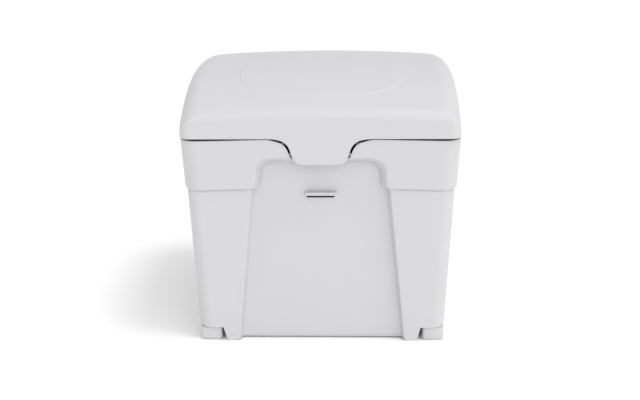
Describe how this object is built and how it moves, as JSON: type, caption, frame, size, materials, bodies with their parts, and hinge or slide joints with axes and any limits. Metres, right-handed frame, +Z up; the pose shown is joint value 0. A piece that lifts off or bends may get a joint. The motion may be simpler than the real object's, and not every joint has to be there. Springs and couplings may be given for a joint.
{
  "type": "cassette toilet",
  "caption": "Free-standing portable cassette toilet: tapered waste cassette with recessed front, lift-off bowl unit, seat and domed lid.",
  "frame": {"origin": "centre of the footprint, on the floor", "axes": "+X to the right seen from the front, +Y to the back where the hinges are, +Z up"},
  "size_m": [0.43, 0.435, 0.4283],
  "materials": {
    "white_shell": "fine satin moulded plastic, off-white",
    "light_grey_moulding": "satin moulded plastic, light grey",
    "dark_grey_moulding": "textured moulded plastic, dark grey",
    "black_rubber": "matt rubber",
    "steel": "stainless steel",
    "clear_hose": "milky translucent hose"
  },
  "bodies": {
    "cassette": {"cassette_tub": "white_shell", "cassette_deck": "light_grey_moulding", "foot_front_left": "white_shell", "foot_rear_left": "white_shell", "foot_front_right": "white_shell", "foot_rear_right": "white_shell", "foot_pad_front_left": "black_rubber", "foot_pad_rear_left": "black_rubber", "foot_pad_front_right": "black_rubber", "foot_pad_rear_right": "black_rubber", "valve_base": "light_grey_moulding", "valve_cover": "light_grey_moulding", "valve_screw_1": "steel", "valve_screw_2": "steel", "valve_screw_3": "steel", "valve_screw_4": "steel", "bowl_lip_seal": "black_rubber", "spout_collar": "dark_grey_moulding", "vent_spring": "steel", "handle_bracket_left": "light_grey_moulding", "handle_bracket_right": "light_grey_moulding", "handle_pin_left": "steel", "handle_pin_right": "steel", "latch_guide": "light_grey_moulding"},
    "blade": {"valve_blade": "dark_grey_moulding", "blade_pull": "white_shell"},
    "spout": {"pour_spout": "light_grey_moulding"},
    "cap": {"spout_cap": "dark_grey_moulding", "spout_cap_seal": "black_rubber"},
    "vent": {"vent_button": "dark_grey_moulding"},
    "handle": {"carry_handle": "light_grey_moulding", "handle_grip": "black_rubber"},
    "latch": {"latch_slider": "dark_grey_moulding"},
    "upper_unit": {"upper_shell": "white_shell", "bowl": "white_shell", "flush_tank": "light_grey_moulding", "latch_catch": "light_grey_moulding", "pump_body": "light_grey_moulding", "pump_bellows": "black_rubber", "suction_tube": "clear_hose", "flush_hose": "clear_hose", "flush_nozzle": "dark_grey_moulding", "hinge_bracket_left": "light_grey_moulding", "hinge_bracket_right": "light_grey_moulding", "hinge_pin_left": "steel", "hinge_pin_right": "steel"},
    "filler": {"fill_cap": "dark_grey_moulding", "fill_cap_seal": "black_rubber"},
    "pump": {"pump_button": "dark_grey_moulding"},
    "seat": {"seat_ring": "white_shell", "seat_buffer_1": "black_rubber", "seat_buffer_2": "black_rubber", "seat_buffer_3": "black_rubber", "seat_buffer_4": "black_rubber"},
    "lid": {"lid_shell": "white_shell", "lid_buffer_left": "black_rubber", "lid_buffer_right": "black_rubber"}
  },
  "joints": [
    {"name": "unit_lift", "type": "slide", "parent": "cassette", "child": "upper_unit", "axis": [0, 0, 1], "range_m": [0, 0.14]},
    {"name": "seat_hinge", "type": "hinge", "parent": "upper_unit", "child": "seat", "pos_m": [0, 0.2115, 0.345], "axis": [-1, 0, 0], "range_deg": [0, 92]},
    {"name": "lid_hinge", "type": "hinge", "parent": "seat", "child": "lid", "pos_m": [0, 0.2115, 0.345], "axis": [-1, 0, 0], "range_deg": [0, 93]},
    {"name": "blade_slide", "type": "slide", "parent": "cassette", "child": "blade", "axis": [0, -1, 0], "range_m": [0, 0.115]},
    {"name": "spout_swivel", "type": "hinge", "parent": "cassette", "child": "spout", "pos_m": [-0.085, 0.165, 0.171], "axis": [0, 0, 1], "range_deg": [0, 92]},
    {"name": "spout_cap_pull", "type": "slide", "parent": "spout", "child": "cap", "axis": [1, 0, 0], "range_m": [0, 0.03]},
    {"name": "vent_press", "type": "slide", "parent": "cassette", "child": "vent", "axis": [0, 0, -1], "range_m": [0, 0.004], "stiffness_N_per_m": 400, "springref_m": -0.002, "deforming": ["vent_spring"]},
    {"name": "handle_swing", "type": "hinge", "parent": "cassette", "child": "handle", "pos_m": [0, 0.2, 0.118], "axis": [1, 0, 0], "range_deg": [0, 95]},
    {"name": "latch_slide", "type": "slide", "parent": "cassette", "child": "latch", "axis": [1, 0, 0], "range_m": [0, 0.01]},
    {"name": "fill_cap_turn", "type": "hinge", "parent": "upper_unit", "child": "filler", "pos_m": [-0.158, 0.15, 0.345], "axis": [0, 0, 1], "range_deg": [0, 90]},
    {"name": "pump_press", "type": "slide", "parent": "upper_unit", "child": "pump", "axis": [0, 0, -1], "range_m": [0, 0.022], "stiffness_N_per_m": 250, "springref_m": -0.004, "deforming": ["pump_bellows"]}
  ]
}
